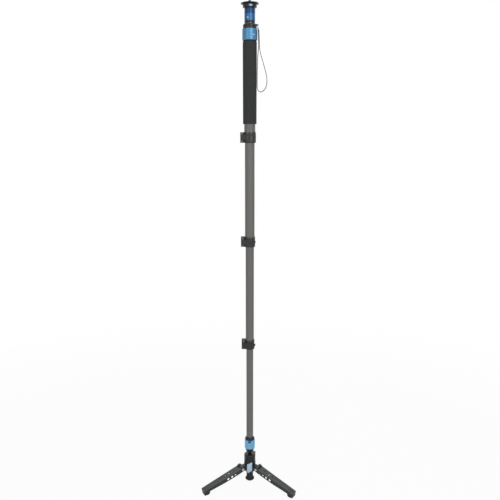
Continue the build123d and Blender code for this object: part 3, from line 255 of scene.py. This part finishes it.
# Wrist strap: a loop of flat nylon webbing, 8 mm wide, whose two ends are sewn into the tab
# under the head collar. It hangs down beside the grip and is seen edge-on from the front.
STRAP_WIDTH = 0.008
STRAP_THICKNESS = 0.0019
STRAP_RIBS = 0.0011
STRAP_YARN = 0.00045
STRAP_RIB_DEPTH = 0.00025
STRAP_ROUTE = [
    (0.0304, 1.5190), (0.0304, 1.5090), (0.0326, 1.4960), (0.0364, 1.4820), (0.0424, 1.4620),
    (0.0492, 1.4400), (0.0542, 1.4190), (0.0554, 1.4020), (0.0528, 1.3870), (0.0464, 1.3764),
    (0.0390, 1.3712), (0.0318, 1.3710), (0.0266, 1.3752), (0.0242, 1.3826), (0.0238, 1.3930),
    (0.02385, 1.4090), (0.0241, 1.4340), (0.0245, 1.4580), (0.0252, 1.4790), (0.0265, 1.4950),
    (0.0284, 1.5085), (0.0284, 1.5190),
]
strap_line = bpy.data.curves.new("strap_line", "CURVE")
strap_line.dimensions = "3D"
strap_spline = strap_line.splines.new("NURBS")
strap_spline.points.add(len(STRAP_ROUTE) - 1)
for point, (reach, height) in zip(strap_spline.points, STRAP_ROUTE):
    point.co = (reach, 0, height, 1)
strap_spline.order_u = 3
strap_spline.use_endpoint_u = True
strap_spline.resolution_u = 12
strap_guide = bpy.data.objects.new("strap_guide", strap_line)
scene.collection.objects.link(strap_guide)
bpy.context.view_layer.update()
strap_path = [v.co.copy() for v in bpy.data.meshes.new_from_object(strap_guide).vertices]
bpy.data.objects.remove(strap_guide)

# across the band, as shares of half its width and of half its thickness
STRAP_SECTION = [
    (-1.0, 0.0), (-0.93, 0.72), (-0.8, 1.0), (-0.4, 0.92),
    (0.0, 1.0), (0.4, 0.92), (0.8, 1.0), (0.93, 0.72),
    (1.0, 0.0), (0.93, -0.72), (0.8, -1.0), (0.4, -0.92),
    (0.0, -1.0), (-0.4, -0.92), (-0.8, -1.0), (-0.93, -0.72),
]
strap_points = []
strap_run = [0.0]
for index, spot in enumerate(strap_path):
    before = strap_path[max(index - 1, 0)]
    after = strap_path[min(index + 1, len(strap_path) - 1)]
    along = (after - before).normalized()
    outward = Vector((along.z, 0, -along.x))
    if index:
        strap_run.append(strap_run[-1] + (spot - before).length)
    for side, face in STRAP_SECTION:
        strap_points.append(
            spot + Vector((0, side * STRAP_WIDTH / 2, 0)) + outward * (face * STRAP_THICKNESS / 2)
        )
strap_count = len(STRAP_SECTION)
strap_faces = [
    (ring * strap_count + k, ring * strap_count + (k + 1) % strap_count,
     (ring + 1) * strap_count + (k + 1) % strap_count, (ring + 1) * strap_count + k)
    for ring in range(len(strap_path) - 1)
    for k in range(strap_count)
]
strap_faces.append(tuple(reversed(range(strap_count))))
strap_faces.append(tuple((len(strap_path) - 1) * strap_count + k for k in range(strap_count)))
strap_mesh = bpy.data.meshes.new("wrist_webbing")
strap_mesh.from_pydata([tuple(p) for p in strap_points], [], strap_faces)
strap_map = strap_mesh.uv_layers.new(name="webbing")
for loop in strap_mesh.loops:
    ring, k = divmod(loop.vertex_index, strap_count)
    strap_map.data[loop.index].uv = (STRAP_SECTION[k][0] * STRAP_WIDTH / 2, strap_run[ring])
webbing = bpy.data.objects.new("wrist_webbing", strap_mesh)
scene.collection.objects.link(webbing)

nylon = Finish("nylon_webbing", Roughness=0.8)
nylon_spot = nylon.node("ShaderNodeUVMap", {"uv_map": "webbing"})
nylon_across, nylon_along = nylon.axes(nylon_spot)[:2]
nylon_slant = (nylon_across.math("ABSOLUTE") + nylon_along) / STRAP_RIBS
nylon_rib = (nylon_slant.math("FRACT") - 0.5).math("ABSOLUTE") * 2
nylon_yarn = ((nylon_across / STRAP_YARN).math("FRACT") - 0.5).math("ABSOLUTE") * 2
nylon_height = nylon_rib * 0.7 + nylon_yarn * 0.3
nylon.feed("Base Color", nylon.mix(nylon_height, linear(8, 9, 9), linear(30, 31, 31)))
nylon.bump(nylon_height, STRAP_RIB_DEPTH)
nylon.onto(webbing)
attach(webbing, "strap")
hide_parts("wrist_strap")

# Hub: cast and machined aluminium with a satin black coat, three tongues for the legs and a
# bore for the ball's stem.
HUB_EDGE = 0.0005
SHARP_ANGLE = math.radians(32)
FLAT_ANGLE = math.radians(0.4)
SAME_CORNER = 0.000002
COAT_CLOUDS = 0.02


def softened(name, edge, finish):
    """Copy of a CAD piece whose sharp edges are broken, which stands for it."""
    bpy.ops.object.select_all(action="DESELECT")
    piece = nodes[name].copy()
    piece.data = nodes[name].data.copy()
    piece.name = name + "_finished"
    piece.parent = None
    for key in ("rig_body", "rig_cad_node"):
        del piece[key]
    scene.collection.objects.link(piece)
    bpy.context.view_layer.objects.active = piece
    piece.select_set(True)
    bpy.ops.mesh.customdata_custom_splitnormals_clear()
    bpy.ops.object.mode_set(mode="EDIT")
    bpy.ops.mesh.select_all(action="SELECT")
    bpy.ops.mesh.remove_doubles(threshold=SAME_CORNER)
    bpy.ops.mesh.dissolve_limited(angle_limit=FLAT_ANGLE)
    bpy.ops.object.mode_set(mode="OBJECT")
    broken = piece.modifiers.new("broken_edges", "BEVEL")
    broken.width = edge
    broken.segments = 2
    broken.limit_method = "ANGLE"
    broken.angle_limit = SHARP_ANGLE
    broken.use_clamp_overlap = False
    bpy.ops.object.modifier_apply(modifier=broken.name)
    bpy.ops.object.shade_smooth_by_angle(angle=SHARP_ANGLE)
    evened = piece.modifiers.new("even_shading", "WEIGHTED_NORMAL")
    evened.keep_sharp = True
    bpy.ops.object.modifier_apply(modifier=evened.name)
    finish.onto(piece)
    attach(piece, nodes[name]["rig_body"])
    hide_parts(name)
    return piece


def grained(name, colour, roughness, grain, depth, **plain):
    """Coat or moulding with a fine grain, a little uneven in colour and gloss."""
    finish = Finish(name, **plain)
    fine = finish.noise(grain, 3)
    clouds = finish.noise(COAT_CLOUDS, 3)
    dark = tuple(0.72 * part for part in colour[:3]) + (1,)
    light = tuple(1.25 * part for part in colour[:3]) + (1,)
    finish.feed("Base Color", finish.mix(fine * 0.6 + clouds * 0.4, dark, light))
    finish.feed("Roughness", finish.spread(clouds * 0.5 + fine * 0.5, roughness - 0.1, roughness + 0.1))
    finish.bump(fine, depth)
    return finish


hub_coat = grained("hub_coat", linear(15, 18, 22), 0.42, 0.0006, 0.00002, Specular_IOR_Level=0.32)
softened("hub", HUB_EDGE, hub_coat)

# Hub inlays: three thin panels of pale blue anodised aluminium, glued into shallow pockets
# between the legs.
TURNED_CLOUDS = 0.015


def turned(name, colour, roughness, line=0.00012, depth=0.000004, Metallic=1.0, **plain):
    """Metal turned on a lathe: fine rings round the pole's axis, under its colour."""
    finish = Finish(name, Metallic=Metallic, **plain)
    along_axis = {"W": finish.axes()[2], "Scale": 1 / line, "Detail": 3}
    rings = finish.node("ShaderNodeTexNoise", {"noise_dimensions": "1D"}, along_axis)
    clouds = finish.noise(TURNED_CLOUDS, 2)
    dark = tuple(0.8 * part for part in colour[:3]) + (1,)
    light = tuple(min(1, 1.15 * part) for part in colour[:3]) + (1,)
    finish.colour = finish.mix(rings * 0.5 + clouds * 0.5, dark, light)
    finish.feed("Base Color", finish.colour)
    gloss = rings * 0.6 + clouds * 0.4
    finish.feed("Roughness", finish.spread(gloss, roughness - 0.08, roughness + 0.08))
    finish.bump(rings, depth)
    return finish


inlay_blue = grained("inlay_blue", linear(168, 198, 218), 0.38, 0.0004, 0.00001, Metallic=0.3)
inlay_blue.onto("hub_inlays")

# Ball foot: a bell-shaped rubber foot moulded on a threaded steel plug that is screwed into
# the hub. The monopod stands on it when the legs are folded up.
rubber = grained("black_rubber", linear(32, 33, 34), 0.72, 0.0005, 0.00006, Specular_IOR_Level=0.3)
rubber.onto("ball_foot")
steel = turned("bright_steel", linear(196, 198, 200), 0.25)
steel.onto("foot_stud")

# Hinge pins: polished stainless pins with flat heads, pressed into the legs' ears. They turn
# in the hub's tongues.
PIN_EDGE = 0.0004
pin_steel = grained("pin_steel", linear(196, 196, 198), 0.34, 0.0005, 0.000004, Metallic=1.0)
softened("hinge_pins", PIN_EDGE, pin_steel)

# Legs: die-cast aluminium channels with a satin black coat, drilled to save weight, with a
# long recess and a grip groove in the top face. Each ends in a rubber pad.
LEG_EDGE = 0.0004
BUTTON_EDGE = 0.0005
PAD_EDGE = 0.0006
leg_coat = grained("leg_coat", linear(40, 43, 44), 0.45, 0.0007, 0.00003, Specular_IOR_Level=0.35)
button_blue = grained("button_blue", linear(96, 176, 206), 0.35, 0.0004, 0.000006, Metallic=0.6)
for number in (1, 2, 3):
    softened(f"leg_{number}", LEG_EDGE, leg_coat)
    softened(f"leg_button_{number}", BUTTON_EDGE, button_blue)
    softened(f"foot_pad_{number}", PAD_EDGE, rubber)

# Ball joint: a hard-chromed steel ball and stem, which two plastic cups hold in a black
# housing. The skirt under the housing keeps dirt out.
satin_black = turned("satin_black", linear(10, 13, 17), 0.34, Metallic=0.0, Specular_IOR_Level=0.34)
bearing = grained("bearing_plastic", linear(46, 46, 45), 0.5, 0.0006, 0.00001)
dark_steel = turned("blackened_steel", linear(62, 62, 64), 0.3, Metallic=0.9)
dark_steel.onto("ball_stud")
steel.onto("stud_nut", "seat_spring")
bearing.onto("stud_bush", "lower_seat", "upper_seat")
satin_black.onto("seat_housing", "base_collar")

# Tilt lock ring: light blue anodised aluminium, screwed round the housing, with three finger
# recesses. The faces inside the recesses are painted a darker blue, a painted shade.
RING_FLOOR = 0.01805
RING_RECESS = (0.1582, 0.1676)
ring_blue = turned("ring_blue", linear(112, 168, 204), 0.36, Metallic=0.7)
ring_x, ring_y, ring_z = ring_blue.axes()
# painted shade: the faces inside the finger recesses are coloured a darker blue
ring_recess_shade = (ring_x ** 2 + ring_y ** 2) ** 0.5 < RING_FLOOR
ring_recess_shade = ring_recess_shade * (ring_z > RING_RECESS[0]) * (ring_z < RING_RECESS[1])
ring_blue.feed("Base Color", ring_blue.mix(ring_recess_shade, ring_blue.colour, linear(34, 82, 138)))
ring_blue.onto("tilt_lock_ring")

# Tubes: carbon fibre in a two by two twill under a clear coat, rubbed matt. Each has its own
# count of tows round it, so that the weave closes.
TOW_WIDTH = 0.0021
TUBE_RADII = {1: 0.0182, 2: 0.016, 3: 0.014, 4: 0.012}


def woven_carbon(name, radius):
    """Twill of tows along and round a tube of this radius."""
    finish = Finish(name, Coat_Roughness=0.35, Coat_IOR=1.5, Specular_IOR_Level=0.18)
    x, y, z = finish.axes()
    count = round(2 * math.pi * radius / TOW_WIDTH / 4) * 4
    around = (y.math("ARCTAN2", x) / (2 * math.pi) + 1) * count
    upward = z / TOW_WIDTH
    step = (around.math("FLOOR") + upward.math("FLOOR")).math("FLOORED_MODULO", 4)
    upright = step < 1.5
    crown_up = 1 - ((around.math("FRACT") - 0.5) * 2) ** 2
    crown_round = 1 - ((upward.math("FRACT") - 0.5) * 2) ** 2
    height = crown_up * upright + crown_round * (1 - upright)
    strands = finish.noise(0.0004, 2, (1, 1, 0.1))
    tone = height * 0.45 + upright * 0.3 + strands * 0.25
    finish.feed("Base Color", finish.mix(tone, linear(64, 64, 62), linear(124, 122, 119)))
    finish.feed("Roughness", finish.spread(strands, 0.34, 0.5))
    finish.feed("Coat Weight", finish.spread(height, 0.06, 0.16))
    finish.bump(height, 0.00003)
    return finish


for number, radius in TUBE_RADII.items():
    woven_carbon(f"carbon_{number}", radius).onto(f"tube_{number}")
bearing.onto("tube_bush_2", "tube_bush_3", "tube_bush_4")

# Flip locks: split collars of glass-filled nylon, squeezed by a cam lever on two eye bolts.
# The levers are die-cast with a black coat, and the bolts are zinc plated.
LOCK_EDGE = 0.0005
LEVER_EDGE = 0.0007
BOLT_EDGE = 0.0002
nylon_black = grained("lock_nylon", linear(48, 48, 46), 0.55, 0.0006, 0.00004, Specular_IOR_Level=0.3)
lever_coat = grained("lever_coat", linear(24, 25, 25), 0.4, 0.0006, 0.00002, Specular_IOR_Level=0.4)
bolt_zinc = grained("bolt_zinc", linear(96, 97, 98), 0.42, 0.0004, 0.000006, Metallic=0.8)
for number in (1, 2, 3):
    softened(f"lock_collar_{number}", LOCK_EDGE, nylon_black)
    softened(f"lock_lever_{number}", LEVER_EDGE, lever_coat)
    softened(f"lock_bolts_{number}", BOLT_EDGE, bolt_zinc)
    bearing.onto(f"lock_shim_{number}")

# Grip: a sleeve of closed-cell foam rubber with rounded ends, a little thicker toward its
# top. It is pushed on to the top tube.
MERGE_DISTANCE = 0.000005
VERTEX_SEED = 0.001
FOAM_CELLS_PER_METRE = 1500
FOAM_CLOUDS = 0.01
FOAM_CELL_DEPTH = 0.00012
GRIP_PROFILE = [
    (0.01823, 1.2700), (0.0206, 1.2700), (0.0214, 1.2704), (0.0219, 1.2713), (0.0220, 1.2730),
    (0.0221, 1.3300), (0.02225, 1.3950), (0.0224, 1.4600), (0.0225, 1.5198), (0.0224, 1.5223),
    (0.0220, 1.5245), (0.0213, 1.5265), (0.0206, 1.5277), (0.0201, 1.5283), (0.01823, 1.5283),
    (0.01823, 1.2700),
]


def drawn(name, points):
    """Line through points, reach from the axis and height, made by extruding one vertex."""
    bpy.ops.object.select_all(action="DESELECT")
    bpy.ops.mesh.primitive_plane_add(size=VERTEX_SEED)
    piece = bpy.context.object
    piece.name = name
    bpy.ops.object.mode_set(mode="EDIT")
    bpy.ops.mesh.select_mode(type="VERT")
    bpy.ops.mesh.select_all(action="SELECT")
    bpy.ops.mesh.merge(type="CENTER")
    bpy.ops.transform.translate(value=(points[0][0], 0, points[0][1]))
    for (reach, height), (next_reach, next_height) in zip(points, points[1:]):
        step = (next_reach - reach, 0, next_height - height)
        bpy.ops.mesh.extrude_vertices_move(TRANSFORM_OT_translate={"value": step})
    return piece


def spun(name, points, steps=96, smooth=35):
    """Solid turned from a closed profile round the pole's axis."""
    piece = drawn(name, points)
    bpy.ops.mesh.select_all(action="SELECT")
    bpy.ops.mesh.spin(steps=steps, angle=2 * math.pi, center=(0, 0, 0), axis=(0, 0, 1))
    bpy.ops.mesh.select_all(action="SELECT")
    bpy.ops.mesh.remove_doubles(threshold=MERGE_DISTANCE)
    bpy.ops.mesh.normals_make_consistent(inside=False)
    bpy.ops.object.mode_set(mode="OBJECT")
    bpy.ops.object.shade_smooth_by_angle(angle=math.radians(smooth))
    return piece


foam_grip = spun("foam_grip", GRIP_PROFILE)
foam = Finish("closed_cell_foam", Specular_IOR_Level=0.3)
foam_grid = {"Vector": foam.place(), "Scale": FOAM_CELLS_PER_METRE}
foam_cells = foam.node("ShaderNodeTexVoronoi", None, foam_grid, "Distance")
foam_clouds = foam.noise(FOAM_CLOUDS, 4)
foam_tone = foam_cells * 0.4 + foam_clouds * 0.6
foam.feed("Base Color", foam.mix(foam_tone, linear(33, 35, 34), linear(57, 59, 58)))
foam.feed("Roughness", foam.spread(foam_clouds, 0.8, 0.95))
foam.bump(foam_cells, FOAM_CELL_DEPTH)
foam.onto(foam_grip)
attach(foam_grip, "section_1")
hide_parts("grip")

# Head collar: black anodised collar glued on the top tube, with the sleeve that the pan lock
# ring turns on, the lug for the strap, and a thin bright trim ring on top.
COLLAR_EDGE = 0.0003
satin = grained("collar_black", linear(8, 10, 14), 0.34, 0.0004, 0.000008, Specular_IOR_Level=0.34)
softened("head_collar", COLLAR_EDGE, satin)
silver = turned("trim_silver", linear(120, 108, 114), 0.3)
silver.onto("collar_trim_ring")
steel.onto("head_plug", "head_spindle")
bearing.onto("spindle_bush")

# Pan lock ring: a wide aluminium ring, turned, satin blasted and anodised blue, with a small
# printed pointer. It turns on the collar's sleeve.
PAN_MARK = {
    "azimuth": -55, "reach": 0.024, "foot": 1.5430, "head": 1.5475,
    "half_foot": 0.0022, "half_head": 0.0,
}


def marked(finish, azimuth, reach, foot, head, half_foot, half_head):
    """White paint where a small mark is printed, with its middle at an azimuth in degrees."""
    x, y, z = finish.axes()
    turned_back = [math.cos(math.radians(azimuth)), math.sin(math.radians(azimuth))]
    across = (y * turned_back[0] - x * turned_back[1]).math("ABSOLUTE")
    facing = x * turned_back[0] + y * turned_back[1] > reach * 0.5
    share = (z - foot) / (head - foot)
    within = across < share * (half_head - half_foot) + half_foot
    inked = within * facing * (share > 0) * (share < 1)
    finish.colour = finish.mix(inked, finish.colour, linear(226, 230, 232))
    finish.feed("Base Color", finish.colour)
    finish.feed("Metallic", finish.spread(inked, finish.shader.inputs["Metallic"].default_value, 0))


pan_blue = turned("pan_blue", linear(74, 122, 156), 0.42, Metallic=0.75)
marked(pan_blue, **PAN_MARK)
pan_blue.onto("pan_lock_ring")

# Neck: turned aluminium, anodised in a deeper blue, with a groove near its top, on a black
# band. Above the groove it is painted a darker blue, a painted shade under the plate frame.
NECK_SPLIT = 1.6092
# white index line on the neck: partly a printed mark, partly a painted highlight where a glint shows
NECK_MARK_AND_GLINT = {
    "azimuth": -107, "reach": 0.0173, "foot": 1.5938, "head": 1.5998,
    "half_foot": 0.0013, "half_head": 0.0009,
}
neck_blue = turned("neck_blue", linear(44, 92, 130), 0.36, Metallic=0.75)
neck_z = neck_blue.axes()[2]
# painted shade: above NECK_SPLIT the neck is coloured a darker blue, under the plate frame
neck_blue.colour = neck_blue.mix(neck_z > NECK_SPLIT, neck_blue.colour, linear(26, 62, 100))
# partly a painted highlight: the white index line also stands for the neck's glint
marked(neck_blue, **NECK_MARK_AND_GLINT)
neck_blue.onto("blue_neck")
satin_black.onto("neck_band")

# Camera plate: a black frame with three windows round a blue thumb wheel, under a black
# plate with a rubber pad. Three screws hold the plate down.
PLATE_EDGE = 0.0003
softened("plate_frame", PLATE_EDGE, satin)
softened("top_plate", PLATE_EDGE, satin_black)
rubber.onto("plate_pad")
bolt_zinc.onto("plate_screws")

# Thumb wheel: turned aluminium, anodised blue, with a toothed rim. It is fixed on the
# camera screw and turns inside the frame's windows. Its pale blue is partly a painted
# highlight, the glint of blue metal seen through the windows.
WHEEL_TEETH = 36
WHEEL_FACES = 144
WHEEL_RADIUS = 0.017
WHEEL_BORE = 0.00423
WHEEL_BOTTOM = 1.6288
WHEEL_TOP = 1.6361
WHEEL_TOOTH = 0.0006
wheel = spun(
    "thumb_wheel",
    [(WHEEL_BORE, WHEEL_BOTTOM), (WHEEL_RADIUS, WHEEL_BOTTOM), (WHEEL_RADIUS, WHEEL_TOP),
     (WHEEL_BORE, WHEEL_TOP), (WHEEL_BORE, WHEEL_BOTTOM)],
    WHEEL_FACES,
)
for face in wheel.data.polygons:
    turn = math.atan2(face.center.y, face.center.x) / (2 * math.pi) * WHEEL_TEETH
    on_rim = face.center.xy.length > WHEEL_RADIUS - WHEEL_TOOTH and abs(face.normal.z) < 0.5
    face.select = on_rim and turn % 1 < 0.5
bpy.ops.object.mode_set(mode="EDIT")
bpy.ops.mesh.select_mode(type="FACE")
bpy.ops.mesh.extrude_region_shrink_fatten(TRANSFORM_OT_shrink_fatten={"value": -WHEEL_TOOTH})
bpy.ops.object.mode_set(mode="OBJECT")
# partly a painted highlight: the wheel's pale blue stands for the glint in the windows
wheel_blue_and_glint = turned("wheel_blue_and_glint", linear(134, 182, 206), 0.4, Metallic=0.3)
wheel_blue_and_glint.onto(wheel)
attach(wheel, "stud")
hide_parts("stud_wheel")

# Camera screw: a 3/8 inch stainless screw with sixteen threads to the inch, and a chamfered
# end.
THREAD_PITCH = 0.0254 / 16
THREAD_OUTER = 0.0047625
THREAD_INNER = 0.00385
THREAD_START = 1.6411
THREAD_ROOM_SHARE = 1.02
SCREW_END = 1.6497
SCREW_CHAMFER = 0.0009
SCREW_SHANK = 0.0042
SCREW_FOOT = 1.6288
thread = drawn("thread", [
    (THREAD_INNER, THREAD_START - THREAD_PITCH),
    (THREAD_INNER, THREAD_START - THREAD_PITCH * 0.75),
    (THREAD_OUTER, THREAD_START - THREAD_PITCH * 0.4375),
    (THREAD_OUTER, THREAD_START - THREAD_PITCH * 0.3125),
    (THREAD_INNER, THREAD_START),
])
bpy.ops.object.mode_set(mode="OBJECT")
helix = thread.modifiers.new("helix", "SCREW")
helix.screw_offset = THREAD_PITCH
helix.iterations = math.ceil((SCREW_END - THREAD_START) / THREAD_PITCH) + 2
helix.steps = 64
helix.use_merge_vertices = True
helix.merge_threshold = MERGE_DISTANCE
bpy.ops.object.modifier_apply(modifier=helix.name)
bpy.ops.object.mode_set(mode="EDIT")
for cut, keep_above in ((THREAD_START, True), (SCREW_END, False)):
    bpy.ops.mesh.select_all(action="SELECT")
    bpy.ops.mesh.bisect(
        plane_co=(0, 0, cut), plane_no=(0, 0, 1), use_fill=True,
        clear_inner=keep_above, clear_outer=not keep_above,
    )
bpy.ops.mesh.select_all(action="SELECT")
bpy.ops.mesh.remove_doubles(threshold=MERGE_DISTANCE)
bpy.ops.mesh.normals_make_consistent(inside=False)
bpy.ops.object.mode_set(mode="OBJECT")
chamfered = spun("chamfered_end", [
    (0, THREAD_START - THREAD_PITCH),
    (THREAD_OUTER * THREAD_ROOM_SHARE, THREAD_START - THREAD_PITCH),
    (THREAD_OUTER * THREAD_ROOM_SHARE, SCREW_END - SCREW_CHAMFER),
    (THREAD_OUTER - SCREW_CHAMFER, SCREW_END),
    (0, SCREW_END),
])
trimmed = thread.modifiers.new("trimmed", "BOOLEAN")
trimmed.operation = "INTERSECT"
trimmed.object = chamfered
bpy.context.view_layer.objects.active = thread
bpy.ops.object.modifier_apply(modifier=trimmed.name)
bpy.data.objects.remove(chamfered)
camera_screw = spun("camera_screw", [
    (0, SCREW_FOOT), (SCREW_SHANK, SCREW_FOOT), (SCREW_SHANK, THREAD_START + THREAD_PITCH / 4),
    (0, THREAD_START + THREAD_PITCH / 4),
])
thread.select_set(True)
bpy.ops.object.join()
bpy.ops.object.shade_smooth_by_angle(angle=math.radians(35))
dark_steel.onto(camera_screw)
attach(camera_screw, "stud")
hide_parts("camera_stud")

# Strap ring and tab: a steel wire ring through the collar's lug, and a moulded rubber tab
# that the webbing is sewn into.
TAB_EDGE = 0.0004
steel.onto("strap_ring")
tab_rubber = grained("tab_rubber", linear(40, 41, 41), 0.6, 0.0005, 0.00004)
softened("strap_tab", TAB_EDGE, tab_rubber)
